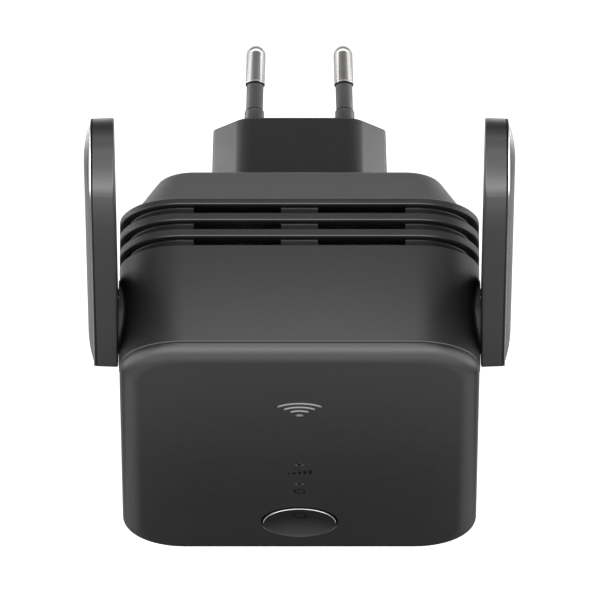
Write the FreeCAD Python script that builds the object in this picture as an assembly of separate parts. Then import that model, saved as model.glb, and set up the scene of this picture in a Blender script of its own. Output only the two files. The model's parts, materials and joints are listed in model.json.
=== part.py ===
"""Plug-in wifi range extender: a tall rounded case that hangs from its own two-pin
mains plug, with a flat paddle aerial hinged on each side.

Row frame, millimetres: the origin is the centre of the plug's engagement face, +Y points
into the wall socket, +Z up, +X to the right of a person facing the front panel.
Every separate piece is written as one STEP file. Left and right aerials are mirror images.
"""
import FreeCAD, Part

import math
import os

V = FreeCAD.Vector

# ---------------------------------------------------------------- driving dimensions
CASE_W = 73.2            # width of the case
CASE_TOP = 29.4          # top face, above the plug's centre line
CASE_H = 103.1           # height of the case
CORNER_R = 12.8          # corner radius seen from the front
Y_RIM = -59.9            # seam between front panel and sleeve
Y_BACK = -27.88          # seam between sleeve and rear cover
Y_REAR = -18.5           # flat rear face of the case
FRONT_BULGE = 3.0        # front panel stands this far in front of its seam
FRONT_EDGE = 4.0         # width of the rounded border of the front panel
WALL = 2.0

GROOVE_W = 1.95          # cooling grooves round the back of the sleeve
GROOVE_D = 2.0
GROOVE_PITCH = 3.55
GROOVE_FIRST = 1.45       # land between rear seam and first groove
VENT_X0, VENT_X1 = 3.75, 21.5   # each vent window, from and to, either side of centre

REAR_STEP = 1.6          # rear cover is this much smaller than the sleeve at the seam
REAR_INSET = 8.0         # rear face is this much inside the case outline
REAR_R = 15.0            # corner radius of the rear cover before it steps in

PLUG_T = 13.7            # plug body thickness
PLUG_SHARP = 36.6       # its width to the sharp points; 35.3 once they are rounded
PLUG_TIP_R = 1.5
PLUG_FLAT = 22.84        # sharp width of its flat top, so the sides slope at 45 degrees
PLUG_EDGE_R = 5.2
PIN_R = 2.0
PIN_CORE_R = 1.35
PIN_LEN = 19.0
PIN_X = 9.38             # half the pin spacing at the engagement face
PIN_TOE = 1.5            # degrees that each pin leans to the centre
SLEEVE_R = 1.74
SLEEVE_END = 10.3
COLLAR_END = 4.2

PIVOT_Y, PIVOT_Z = -49.3, 12.9  # hinge axis of both aerials, along X
BOSS_R = 9.2
BOSS_X = 36.75
ARM_IN = 36.9            # inner face of an aerial arm
ARM_R = 8.3              # half its width
ARM_WALL_T = 4.65         # thickness up to the seam
ARM_DOME = 1.35           # crown of the outer cover
ARM_LEN = 83.5           # between the centres of its round ends
HUB_R = 4.0
HUB_CLEAR = 0.05
HUB_BORE_R = 1.6
STOP_DEG = 180.0

BUTTON_R = 7.6
BUTTON_GAP = 0.19
BUTTON_Z = -57.6
BUTTON_PROUD = 0.35
BUTTON_TRAVEL = 0.4
LED_Z = (-27.16, -37.1)
EMBLEM_Z = 1.15

BOARD_F, BOARD_B = -55.2, -54.0     # main board, front and back faces
PBOARD_F, PBOARD_B = -33.8, -32.2   # power board

CASE_BOT = CASE_TOP - CASE_H
CZ = (CASE_TOP + CASE_BOT) / 2
Y_FRONT = Y_RIM - FRONT_BULGE
Y_FRONT_IN = Y_FRONT + 1.8

parts = {}


# ---------------------------------------------------------------- helpers
def box(x0, x1, y0, y1, z0, z1):
    return Part.makeBox(x1 - x0, y1 - y0, z1 - z0, V(x0, y0, z0))


def cyl_x(x0, x1, y, z, r):
    return Part.makeCylinder(r, x1 - x0, V(x0, y, z), V(1, 0, 0))


def cyl_y(x, y0, y1, z, r):
    return Part.makeCylinder(r, y1 - y0, V(x, y0, z), V(0, 1, 0))


def cyl_z(x, y, z0, z1, r):
    return Part.makeCylinder(r, z1 - z0, V(x, y, z0), V(0, 0, 1))


def fuse(shapes):
    s = shapes[0]
    if len(shapes) > 1:
        s = s.multiFuse(shapes[1:])
    return s.removeSplitter()


def cut(a, *tools):
    for t in tools:
        a = a.cut(t)
    return a


def edges_of(items, f):
    """items: ("L", (q, y)), ("A", mid, end) or ("E", centre, a, b, t0, t1) for an
    ellipse with its long axis a along q and b along y. f maps (q, y) to a point."""
    out, here = [], None
    for it in items:
        if it[0] == "L":
            if here is not None:
                out.append(Part.LineSegment(f(*here), f(*it[1])).toShape())
            here = it[1]
        elif it[0] == "A":
            out.append(Part.Arc(f(*here), f(*it[1]), f(*it[2])).toShape())
            here = it[2]
        elif it[0] == "E":
            (cq, cy), a, b, t0, t1 = it[1:]
            c, s1, s2 = f(cq, cy), f(cq + a, cy), f(cq, cy + b)
            arc = Part.ArcOfEllipse(Part.Ellipse(s1, s2, c), min(t0, t1), max(t0, t1))
            out.append(arc.toShape())
            here = (cq + a * math.cos(t1), cy + b * math.sin(t1))
    first = items[0][1]
    if (first[0] - here[0]) ** 2 + (first[1] - here[1]) ** 2 > 1e-12:
        out.append(Part.LineSegment(f(*here), f(*first)).toShape())
    return out


def face_of(items, f):
    return Part.Face(Part.Wire(Part.__sortEdges__(edges_of(items, f))))


def round_case(items, w=CASE_W, h=CASE_H, r=CORNER_R, cx=0.0, cz=None, solid=True):
    """Carries a profile round a rounded rectangle that lies in XZ. The profile is in
    (q, y): q is the distance from the corner's centre, so q = r is the outline."""
    cz = CZ if cz is None else cz
    hx, hz = w / 2 - r, h / 2 - r
    out = []
    for sx, sz, a0 in ((1, 1, 0), (-1, 1, 90), (-1, -1, 180), (1, -1, 270)):
        a = math.radians(a0)
        c = V(cx + sx * hx, 0, cz + sz * hz)
        d = V(math.cos(a), 0, math.sin(a))
        face = face_of(items, lambda q, y: V(c.x + q * d.x, y, c.z + q * d.z))
        # revolving about -Y takes +X towards +Z
        out.append(face.revolve(c, V(0, -1, 0), 90))
    for d, start, run in (
        (V(1, 0, 0), V(cx + hx, 0, cz - hz), V(0, 0, 2 * hz)),
        (V(-1, 0, 0), V(cx - hx, 0, cz - hz), V(0, 0, 2 * hz)),
        (V(0, 0, 1), V(cx - hx, 0, cz + hz), V(2 * hx, 0, 0)),
        (V(0, 0, -1), V(cx - hx, 0, cz - hz), V(2 * hx, 0, 0)),
    ):
        face = face_of(items, lambda q, y: V(start.x + q * d.x, y, start.z + q * d.z))
        out.append(face.extrude(run))
    if solid:
        y0, y1 = sorted((items[0][1][1], end_of(items)[1]))
        out.append(box(cx - hx, cx + hx, y0, y1, cz - hz, cz + hz))
    return fuse(out)


def end_of(items):
    it = items[-1]
    if it[0] == "L":
        return it[1]
    if it[0] == "A":
        return it[2]
    (cq, cy), a, b, t0, t1 = it[1:]
    return (cq + a * math.cos(t1), cy + b * math.sin(t1))


def stadium(items, y=PIVOT_Y, z0=PIVOT_Z, length=ARM_LEN, x0=-ARM_IN, sx=-1.0):
    """Carries a profile (rho, depth) round a long flat bar that stands on the hinge.
    Depth runs outwards along X from x0. The profile starts and ends on its axis."""
    out = []
    top = V(0, y, z0 + length)
    low = V(0, y, z0)
    for c, a0 in ((top, 0), (low, 180)):
        a = math.radians(a0)
        face = face_of(items, lambda q, t: V(x0 + sx * t, c.y + q * math.cos(a), c.z + q * math.sin(a)))
        out.append(face.revolve(c, V(1, 0, 0), 180))
    mirrored = face_of(items, lambda q, t: V(x0 + sx * t, y - q, z0))
    plain = face_of(items, lambda q, t: V(x0 + sx * t, y + q, z0))
    run = V(0, 0, length)
    out.append(mirrored.extrude(run))
    out.append(plain.extrude(run))
    return fuse(out)


def prism(points, y0, y1):
    w = Part.makePolygon([V(x, y0, z) for x, z in points] + [V(points[0][0], y0, points[0][1])])
    return Part.Face(w).extrude(V(0, y1 - y0, 0))


def ring_sector(cx, cz, r0, r1, a0, a1, y0, y1):
    def p(r, deg):
        a = math.radians(deg)
        return V(cx + r * math.cos(a), y0, cz + r * math.sin(a))

    am = (a0 + a1) / 2
    es = [
        Part.Arc(p(r1, a0), p(r1, am), p(r1, a1)).toShape(),
        Part.LineSegment(p(r1, a1), p(r0, a1)).toShape(),
        Part.Arc(p(r0, a1), p(r0, am), p(r0, a0)).toShape(),
        Part.LineSegment(p(r0, a0), p(r1, a0)).toShape(),
    ]
    return Part.Face(Part.Wire(es)).extrude(V(0, y1 - y0, 0))


def ring_sector_x(cy, cz, r0, r1, a0, a1, x0, x1):
    """Annular sector round the X axis direction; angle 0 is +Y, 90 is +Z."""
    def p(r, deg):
        a = math.radians(deg)
        return V(x0, cy + r * math.cos(a), cz + r * math.sin(a))

    am = (a0 + a1) / 2
    es = [
        Part.Arc(p(r1, a0), p(r1, am), p(r1, a1)).toShape(),
        Part.LineSegment(p(r1, a1), p(r0, a1)).toShape(),
        Part.Arc(p(r0, a1), p(r0, am), p(r0, a0)).toShape(),
        Part.LineSegment(p(r0, a0), p(r1, a0)).toShape(),
    ]
    return Part.Face(Part.Wire(es)).extrude(V(x1 - x0, 0, 0))


def fillet_some(shape, radius, test):
    """Rounds the edges for which test(edge) is true; leaves the shape alone if OCC can't."""
    es = [e for e in shape.Edges if test(e)]
    if not es:
        return shape
    try:
        out = shape.makeFillet(radius, es)
        if out.isValid() and out.Volume > 0:
            return out
    except Exception:
        pass
    return shape


def lead(points, r, first_r=None, radii=None):
    """A round wire along straight runs joined by tangent arcs."""
    pts = [V(*p) for p in points]
    n = len(pts)
    edges, here, out_r = [], pts[0], []
    for i in range(1, n - 1):
        a, b, c = pts[i - 1], pts[i], pts[i + 1]
        u, w = (a - b), (c - b)
        lu, lw = u.Length, w.Length
        u.normalize()
        w.normalize()
        turn = math.pi - math.acos(max(-1, min(1, u.dot(w))))
        rad = 0.45 * min(lu, lw) / math.tan(turn / 2)
        if radii and radii[i - 1]:
            rad = min(rad, radii[i - 1])
        t = rad * math.tan(turn / 2)
        p0, p1 = b + u * t, b + w * t
        bis = u + w
        bis.normalize()
        mid = b + bis * (rad / math.cos(turn / 2) - rad)
        edges.append(Part.LineSegment(here, p0).toShape())
        edges.append(Part.Arc(p0, mid, p1).toShape())
        here = p1
        out_r.append(rad)
    edges.append(Part.LineSegment(here, pts[-1]).toShape())
    path = Part.Wire(edges)
    d = pts[1] - pts[0]
    circle = Part.Wire([Part.makeCircle(r, pts[0], d)])
    s = path.makePipeShell([circle], True, False)
    want = math.pi * r * r * path.Length
    print("lead radii", [round(x, 2) for x in out_r], "length", round(path.Length, 1), "volume ratio", round(s.Volume / want, 4))
    return s


def keep(name, shape):
    parts[name] = shape


def mirror_x(shape):
    return shape.mirror(V(0, 0, 0), V(1, 0, 0))


def q(o):
    """Distance from the corner's centre for a point o inside the outline."""
    return CORNER_R - o


# ---------------------------------------------------------------- front panel
def front_cover():
    c = 0.22
    outer = round_case([
        ("L", (0, Y_RIM)),
        ("L", (q(c), Y_RIM)),
        ("L", (q(0), Y_RIM - c)),
        ("E", (q(FRONT_EDGE), Y_RIM - c), FRONT_EDGE, -(FRONT_BULGE - c), 0, math.pi / 2),
        ("L", (0, Y_FRONT)),
    ])
    inner = round_case([
        ("L", (0, Y_RIM)),
        ("L", (q(WALL), Y_RIM)),
        ("E", (q(WALL + 5.0), Y_RIM), 5.0, Y_FRONT_IN - Y_RIM, 0, math.pi / 2),
        ("L", (0, Y_FRONT_IN)),
    ])
    skirt = round_case([
        ("L", (q(2.15), Y_RIM - 1.0)),
        ("L", (q(2.15), -56.0)),
        ("L", (q(2.6), -55.6)),
        ("L", (q(3.6), -55.6)),
        ("L", (q(3.6), Y_RIM - 1.0)),
    ], solid=False)
    s = outer.cut(inner)
    # the skirt steps round the two hinge barrels
    for sx in (-1, 1):
        skirt = skirt.cut(cyl_x(min(sx * 40, sx * 20), max(sx * 40, sx * 20), PIVOT_Y, PIVOT_Z, BOSS_R + 0.4))
    s = s.fuse(skirt)
    for rib in snap_ribs(0.0):
        s = s.fuse(rib)
    # guide ring and stop flange room for the button
    guide = cyl_y(0, Y_FRONT_IN - 0.5, -58.7, BUTTON_Z, 10.1).cut(
        cyl_y(0, Y_FRONT_IN - 1, -58, BUTTON_Z, 8.85))
    s = s.fuse(guide)
    # board posts
    for x in (-25, 25):
        for z in (20.5, -59.5):
            post = cyl_y(x, Y_FRONT_IN - 0.4, BOARD_F, z, 2.9)
            s = s.fuse(post)
    # light pipe tubes
    for z in LED_Z:
        s = s.fuse(cyl_y(0, Y_FRONT_IN - 0.4, -57.6, z, 2.5))
    holes = [cyl_y(0, Y_FRONT - 1, -57, BUTTON_Z, BUTTON_R + BUTTON_GAP)]
    # small chamfer at the mouth of the button hole
    holes.append(Part.makeCone(BUTTON_R + BUTTON_GAP + 0.25, BUTTON_R + BUTTON_GAP, 0.25,
                               V(0, Y_FRONT, BUTTON_Z), V(0, 1, 0)))
    for x in (-25, 25):
        for z in (20.5, -59.5):
            holes.append(cyl_y(x, -60.4, BOARD_F + 1, z, 0.95))
    for z in LED_Z:
        holes.append(cyl_y(0, Y_FRONT - 1, -60.6, z, 0.7))
        holes.append(cyl_y(0, -60.7, -57, z, 1.65))
        holes.append(Part.makeCone(0.86, 0.7, 0.16, V(0, Y_FRONT, z), V(0, 1, 0)))
    s = cut(s, *holes)
    for e in emblem_solids(0.05, Y_FRONT - 1, Y_FRONT + 0.35):
        s = s.cut(e)
    return s.removeSplitter()


def snap_ribs(grow):
    """Ribs on the front panel's skirt that click into pockets in the sleeve's wall."""
    out = []
    y0, y1 = -57.4 - grow, -56.4 + grow
    for z in (-15.0, -48.0):
        for sx in (-1, 1):
            xa, xb = sorted((sx * (CASE_W / 2 - 2.6), sx * (CASE_W / 2 - 1.75 + grow)))
            out.append(box(xa, xb, y0, y1, z - 4 - grow, z + 4 + grow))
    for x in (-15.5, 15.5):
        out.append(box(x - 4 - grow, x + 4 + grow, y0, y1, CASE_TOP - 2.6, CASE_TOP - 1.75 + grow))
        out.append(box(x - 4 - grow, x + 4 + grow, y0, y1, CASE_BOT + 1.75 - grow, CASE_BOT + 2.6))
    return out


def emblem_solids(grow, y0, y1):
    """Three arcs over a dot: the plain sign for a radio signal."""
    cz = EMBLEM_Z - 3.0
    out = [cyl_y(0, y0, y1, cz, 0.95 + grow)]
    for r in (2.55, 4.45, 6.35):
        g = math.degrees(grow / r)
        out.append(ring_sector(0, cz, r - 0.52 - grow, r + 0.52 + grow, 45 - g, 135 + g, y0, y1))
    return out


keep("front_cover", front_cover())
keep("front_emblem", Part.makeCompound(emblem_solids(0.0, Y_FRONT - 0.12, Y_FRONT + 0.3)))


# ---------------------------------------------------------------- sleeve
def groove_y(i):
    """(front edge, back edge) of groove i, counted from the back."""
    back = Y_BACK - GROOVE_FIRST - i * GROOVE_PITCH
    return back - GROOVE_W, back


def main_housing():
    e = 0.22
    lip = 4.2
    y_thick = groove_y(2)[0] - 2.0
    outline = [("L", (q(WALL), Y_RIM + 0.04)), ("L", (q(e), Y_RIM + 0.04)), ("L", (q(0), Y_RIM + 0.04 + e))]
    b = 0.18
    for i in (2, 1, 0):
        g0, g1 = groove_y(i)
        outline += [
            ("L", (q(0), g0 - b)), ("L", (q(b), g0)), ("L", (q(GROOVE_D), g0)),
            ("L", (q(GROOVE_D), g1)), ("L", (q(b), g1)), ("L", (q(0), g1 + b)),
        ]
    outline += [
        ("L", (q(0), Y_BACK - 0.3)), ("L", (q(0.3), Y_BACK)),
        ("L", (q(lip), Y_BACK)), ("L", (q(lip), y_thick + 2.2)), ("L", (q(WALL), y_thick)),
    ]
    s = round_case(outline, solid=False)
    # hinge bosses
    for sx in (-1, 1):
        x_in, x_out = sx * 29.5, sx * BOSS_X
        barrel = cyl_x(min(x_in, sx * 35.5), max(x_in, sx * 35.5), PIVOT_Y, PIVOT_Z, 6.2)
        pad = cyl_x(min(sx * 31.5, x_out), max(sx * 31.5, x_out), PIVOT_Y, PIVOT_Z, BOSS_R)
        s = s.fuse(pad).fuse(barrel)
    s = s.removeSplitter()
    s = fillet_boss(s)
    for sx in (-1, 1):
        # inside of the pad is hollow down to the barrel
        ring = cyl_x(min(sx * 30.5, sx * 34.5), max(sx * 30.5, sx * 34.5), PIVOT_Y, PIVOT_Z, BOSS_R - 1.6).cut(
            cyl_x(min(sx * 30.0, sx * 35.0), max(sx * 30.0, sx * 35.0), PIVOT_Y, PIVOT_Z, 6.2))
        s = s.cut(ring)
        s = s.cut(cyl_x(min(sx * 28, sx * 40), max(sx * 28, sx * 40), PIVOT_Y, PIVOT_Z, HUB_R + HUB_CLEAR))
        # seat of the friction washer
        s = s.cut(cyl_x(min(sx * 36.15, sx * 40), max(sx * 36.15, sx * 40), PIVOT_Y, PIVOT_Z, 5.85))
        # arc track of the end stop: the arm's rib starts at the back and turns forward
        track = ring_sector_x(PIVOT_Y, PIVOT_Z, 6.75, 8.15, -10, 190, min(sx * 35.95, sx * 40), max(sx * 35.95, sx * 40))
        s = s.cut(track)
    # vent windows, top and bottom
    for i in range(3):
        g0, g1 = groove_y(i)
        for sx in (-1, 1):
            x0, x1 = sorted((sx * VENT_X0, sx * VENT_X1))
            s = s.cut(box(x0, x1, g0, g1, CASE_TOP - 6, CASE_TOP + 1))
            s = s.cut(box(x0, x1, g0, g1, CASE_BOT - 1, CASE_BOT + 6))
    # network socket opening and reset hole in the bottom
    s = s.cut(box(-8.15, 8.15, -54.2, -41.6, CASE_BOT - 1, CASE_BOT + 4))
    s = s.cut(cyl_z(18.0, -52.8, CASE_BOT - 1, CASE_BOT + 4, 0.85))
    s = s.cut(Part.makeCone(1.15, 0.85, 0.3, V(18.0, -52.8, CASE_BOT), V(0, 0, 1)))
    # latch pockets for the rear cover
    for box_ in latch_boxes(0.15) + snap_ribs(0.12):
        s = s.cut(box_)
    return s


def fillet_boss(s):
    """Blend between each hinge pad and the rounded case corner."""
    def is_seam(e):
        try:
            bb = e.BoundBox
        except Exception:
            return False
        if abs(bb.XMin) < 31 and abs(bb.XMax) < 31:
            return False
        lo, hi = min(abs(bb.XMin), abs(bb.XMax)), max(abs(bb.XMin), abs(bb.XMax))
        if lo < 32.4 or hi > 36.6:
            return False
        # every point of it lies on the pad's cylinder and off the flat end
        for t in (0.1, 0.3, 0.5, 0.7, 0.9):
            p = e.valueAt(e.FirstParameter + t * (e.LastParameter - e.FirstParameter))
            if abs(math.hypot(p.y - PIVOT_Y, p.z - PIVOT_Z) - BOSS_R) > 0.02:
                return False
        return hi - lo > 0.2
    for r in (1.2, 0.9, 0.6, 0.4):
        out = fillet_some(s, r, is_seam)
        if out is not s:
            print("boss fillet", r)
            return out
    print("boss fillet: none")
    return s


def latch_boxes(grow):
    out = []
    y0, y1 = Y_BACK - 2.7 - grow, Y_BACK - 1.5 + grow
    for z in (CASE_TOP - 24, CZ, CASE_BOT + 24):
        for sx in (-1, 1):
            xa, xb = sorted((sx * (CASE_W / 2 - 4.7), sx * (CASE_W / 2 - 3.8 + grow)))
            out.append(box(xa, xb, y0, y1, z - 4 - grow, z + 4 + grow))
    return out


keep("main_housing", main_housing())


# ---------------------------------------------------------------- rear cover
SLOPE = (REAR_INSET - REAR_STEP) / (Y_REAR - Y_BACK)


def rear_cover():
    def k(o):
        return REAR_R - o

    r = 2.2                      # round between the slope and the rear face
    ang = math.atan(SLOPE)       # slope from the Y axis
    # the corner of the profile is at o = REAR_INSET, y = Y_REAR
    turn = math.pi / 2 - ang
    t = r * math.tan(turn / 2)
    p0 = (REAR_INSET - t * math.sin(ang), Y_REAR - t * math.cos(ang))
    p1 = (REAR_INSET + t, Y_REAR)
    c = (REAR_INSET + t, Y_REAR - r)
    # middle of the arc
    m0 = math.pi / 2 + turn / 2
    mid = (c[0] + r * math.cos(m0), c[1] + r * math.sin(m0))
    outer = round_case([
        ("L", (0, Y_BACK + 0.04)),
        ("L", (k(REAR_STEP + 0.2), Y_BACK + 0.04)),
        ("L", (k(REAR_STEP), Y_BACK + 0.24)),
        ("L", (k(p0[0]), p0[1])),
        ("A", (k(mid[0]), mid[1]), (k(p1[0]), p1[1])),
        ("L", (0, Y_REAR)),
    ], r=REAR_R)
    t_in = WALL / math.cos(ang)
    y_in = Y_REAR - 2.2
    o_at = lambda y: REAR_STEP + (y - Y_BACK) * SLOPE + t_in
    inner = round_case([
        ("L", (0, Y_BACK - 1)),
        ("L", (k(5.8), Y_BACK - 1)),
        ("L", (k(5.8), Y_BACK + (5.8 - REAR_STEP - t_in) / SLOPE)),
        ("L", (k(o_at(y_in)), y_in)),
        ("L", (0, y_in)),
    ], r=REAR_R)
    s = outer.cut(inner)
    lip = round_case([
        ("L", (q(4.35), Y_BACK + 0.5)),
        ("L", (q(4.35), Y_BACK - 3.2)),
        ("L", (q(4.7), Y_BACK - 3.6)),
        ("L", (q(5.8), Y_BACK - 3.6)),
        ("L", (q(5.8), Y_BACK + 0.5)),
    ], solid=False)
    s = s.fuse(lip)
    for b in latch_boxes(0.0):
        s = s.fuse(b)
    # posts for the power board
    for x, z in POWER_POSTS:
        s = s.fuse(cyl_y(x, PBOARD_B, y_in + 0.5, z, 2.7))
    for x, z in POWER_POSTS:
        s = s.cut(cyl_y(x, PBOARD_B - 1, y_in - 1.0, z, 0.95))
    # opening for the plug body, and posts that hold its flange
    s = s.cut(plug_hex(0.12, Y_REAR - 4, Y_REAR + 1))
    return s.removeSplitter()


POWER_POSTS = [(-23.5, 16.5), (23.5, 16.5), (-23.5, -33.5), (23.5, -33.5)]


def plug_hex(grow, y0, y1, fillet=True):
    hw, ht, hf = PLUG_SHARP / 2 + grow, PLUG_T / 2 + grow, PLUG_FLAT / 2 + grow * 0.6
    pts = [(-hw, 0), (-hf, ht), (hf, ht), (hw, 0), (hf, -ht), (-hf, -ht)]
    s = prism(pts, y0, y1)
    long_edges = [e for e in s.Edges if abs(e.BoundBox.YLength - (y1 - y0)) < 1e-6]
    flat = [e for e in long_edges if abs(e.BoundBox.ZMin) > 1]
    s = s.makeFillet(PLUG_EDGE_R, flat)
    tip = [e for e in s.Edges if abs(e.BoundBox.YLength - (y1 - y0)) < 1e-6
           and abs(e.BoundBox.ZMin) < 0.01 and abs(abs(e.BoundBox.XMin) - hw) < 0.01]
    return s.makeFillet(PLUG_TIP_R, tip)


keep("rear_cover", rear_cover())


# ---------------------------------------------------------------- plug
def hex_wire(grow, y):
    hw, ht, hf = PLUG_SHARP / 2 + grow, PLUG_T / 2 + grow, PLUG_FLAT / 2 + grow * 0.6
    return Part.makePolygon([V(x, y, z) for x, z in
                             [(-hw, 0), (-hf, ht), (hf, ht), (hw, 0), (hf, -ht), (-hf, -ht), (-hw, 0)]])


def pin_axis_shape(shape, sx):
    """Puts a shape made along +Y at the origin onto a pin's axis, leaning inwards."""
    s = shape.copy()
    s.rotate(V(0, 0, 0), V(0, 0, 1), sx * PIN_TOE)
    s.translate(V(sx * PIN_X, 0, 0))
    return s


def plug_block():
    draft = 0.45
    y_in = Y_REAR - 2.2
    front = Part.makeLoft([hex_wire(draft, Y_REAR + 0.0), hex_wire(0.0, 0.0)], True, True)
    edges = [e for e in front.Edges if e.BoundBox.YLength > 10 and abs(e.BoundBox.ZMin) > 1]
    front = front.makeFillet(PLUG_EDGE_R, edges)
    tip = [e for e in front.Edges if e.BoundBox.YLength > 10 and abs(e.BoundBox.ZMin) < 0.01 and abs(e.BoundBox.ZMax) < 0.01]
    front = front.makeFillet(PLUG_TIP_R, tip)
    rim = [e for e in front.Edges if e.BoundBox.YMin > -0.01]
    try:
        f2 = front.makeFillet(0.35, rim)
        if f2.isValid():
            front = f2
    except Exception:
        pass
    neck = plug_hex(0.0, y_in - 0.05, Y_REAR + 0.05)
    s = front.fuse(neck)
    flange = box(-21.5, 21.5, y_in - 2.1, y_in - 0.05, -10.5, 10.5)
    flange = flange.makeFillet(2.0, [e for e in flange.Edges if e.BoundBox.YLength > 1.5 and e.Length < 2.2])
    s = s.fuse(flange)
    s = s.cut(box(-13.0, 13.0, y_in - 3, -4.0, -4.3, 4.3))
    for sx in (-1, 1):
        s = s.cut(pin_axis_shape(cyl_y(0, -6, 2, 0, PIN_R + 0.02), sx))
    return s.removeSplitter()


def plug_pin(sx):
    core = cyl_y(0, -12, SLEEVE_END + 0.5, 0, PIN_CORE_R)
    tip = cyl_y(0, SLEEVE_END, PIN_LEN - PIN_R, 0, PIN_R)
    dome = Part.makeSphere(PIN_R, V(0, PIN_LEN - PIN_R, 0))
    s = core.fuse(tip).fuse(dome).removeSplitter()
    s = pin_axis_shape(s, sx)
    return s.cut(box(-40, 40, -20, -10, -10, 10))


def pin_sleeve(sx):
    collar = cyl_y(0, -4.0, COLLAR_END, 0, PIN_R)
    collar = collar.makeFillet(0.2, [e for e in collar.Edges if e.BoundBox.YMin > COLLAR_END - 0.01 and e.BoundBox.YLength < 0.01])
    tube = cyl_y(0, -4.0, SLEEVE_END, 0, SLEEVE_R)
    s = collar.fuse(tube).cut(cyl_y(0, -6, 12, 0, PIN_CORE_R + 0.02)).removeSplitter()
    return pin_axis_shape(s, sx)


def contact(sx):
    """Brass leaf from the tail of a pin to the power board."""
    x = sx * (PIN_X + 0.26)
    pad = box(x - 2.2, x + 2.2, -10.6, -10.0, -2.6, 2.6)
    leg = box(x - 2.0, x + 2.0, PBOARD_B, -10.0, -2.6, -2.0)
    foot = box(x - 2.0, x + 2.0, PBOARD_B, PBOARD_B + 0.6, -5.4, -2.0)
    return pad.fuse(leg).fuse(foot).removeSplitter()


keep("plug_block", plug_block())
for side, sx in (("left", -1), ("right", 1)):
    keep("plug_pin_" + side, plug_pin(sx))
    keep("pin_sleeve_" + side, pin_sleeve(sx))
keep("line_contact", contact(-1))
keep("neutral_contact", contact(1))


# ---------------------------------------------------------------- button and lights
def wps_button():
    y0 = Y_FRONT - BUTTON_PROUD
    cap = cyl_y(0, y0, Y_FRONT_IN + 0.05, BUTTON_Z, BUTTON_R)
    cap = cap.makeChamfer(0.22, [e for e in cap.Edges if e.BoundBox.YMax < y0 + 0.01])
    dish_r, dish_d = 34.0, 0.85
    # sphere that cuts a shallow dish into the cap
    cap = cap.cut(Part.makeSphere(dish_r, V(0, y0 + dish_d - dish_r, BUTTON_Z)))
    flange = cyl_y(0, Y_FRONT_IN + 0.05, Y_FRONT_IN + 0.85, BUTTON_Z, 8.65)
    post = cyl_y(0, Y_FRONT_IN + 0.05, -58.9, BUTTON_Z, 1.6)
    s = cap.fuse(flange).fuse(post)
    return s.removeSplitter()


def wps_switch():
    body = box(-3.0, 3.0, -58.3, BOARD_F, BUTTON_Z - 3.0, BUTTON_Z + 3.0)
    body = body.makeFillet(0.3, [e for e in body.Edges if e.BoundBox.YLength > 2])
    body = body.cut(cyl_y(0, -59, -56.9, BUTTON_Z, 1.8))
    for sx in (-1, 1):
        for z in (-2.25, 2.25):
            x0, x1 = sorted((sx * 2.9, sx * 3.9))
            body = body.fuse(box(x0, x1, BOARD_F - 0.3, BOARD_F, BUTTON_Z + z - 0.4, BUTTON_Z + z + 0.4))
    return body.removeSplitter()


def light_pipe(z):
    stem = cyl_y(0, Y_FRONT + 0.35, -60.2, z, 0.66)
    body = cyl_y(0, -60.6, -56.1, z, 1.6)
    return stem.fuse(body).removeSplitter()


def led(z):
    base = box(-0.8, 0.8, BOARD_F - 0.35, BOARD_F, z - 0.4, z + 0.4)
    lens = box(-0.55, 0.55, BOARD_F - 0.7, BOARD_F - 0.35, z - 0.4, z + 0.4)
    return base.fuse(lens).removeSplitter()


keep("wps_button", wps_button())
keep("wps_switch", wps_switch())
keep("wps_switch_plunger", cyl_y(0, -58.9, -57.5, BUTTON_Z, 1.7))
keep("signal_light_pipe", light_pipe(LED_Z[0]))
keep("system_light_pipe", light_pipe(LED_Z[1]))
keep("signal_led", led(LED_Z[0]))
keep("system_led", led(LED_Z[1]))


# ---------------------------------------------------------------- main board
def main_board():
    s = box(-29, 29, BOARD_F, BOARD_B, -66, 25)
    s = s.makeFillet(2.5, [e for e in s.Edges if e.BoundBox.YLength > 1 and e.Length < 1.5])
    for x in (-25, 25):
        for z in (20.5, -59.5):
            s = s.cut(cyl_y(x, BOARD_F - 1, BOARD_B + 1, z, 1.15))
    # room for the hinge barrels
    for sx in (-1, 1):
        xa, xb = sorted((sx * 27.9, sx * 31))
        s = s.cut(box(xa, xb, BOARD_F - 1, BOARD_B + 1, PIVOT_Z - 6.8, PIVOT_Z + 6.8))
    return s


def screw(x, y_seat, z, direction, length):
    """Pan-head screw. direction +1: the shank runs towards +Y."""
    head = cyl_y(x, min(y_seat, y_seat - direction * 1.2), max(y_seat, y_seat - direction * 1.2), z, 1.8)
    head = head.makeFillet(0.35, [e for e in head.Edges if e.BoundBox.YLength < 0.01
                                  and abs(e.BoundBox.YMin - (y_seat - direction * 1.2)) < 0.01])
    ya = y_seat - direction * 0.1
    yb = y_seat + direction * length
    shank = cyl_y(x, min(ya, yb), max(ya, yb), z, 0.88)
    s = head.fuse(shank)
    top = y_seat - direction * 1.2
    for dx, dz in ((1.1, 0.22), (0.22, 1.1)):
        s = s.cut(box(x - dx, x + dx, min(top, top + direction * 0.6) - 0.001, max(top, top + direction * 0.6) + 0.001, z - dz, z + dz))
    return s.removeSplitter()


def rf_shield():
    s = box(-15, 15, -54, -51.7, -22, 8)
    s = s.makeFillet(0.6, [e for e in s.Edges if e.BoundBox.YLength > 2])
    s = s.cut(box(-14.7, 14.7, -54.5, -52.0, -21.7, 7.7))
    for i in range(5):
        for k in range(5):
            s = s.cut(cyl_y(-10 + 5 * i, -53, -51, -17 + 5 * k, 0.6))
    return s


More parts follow.
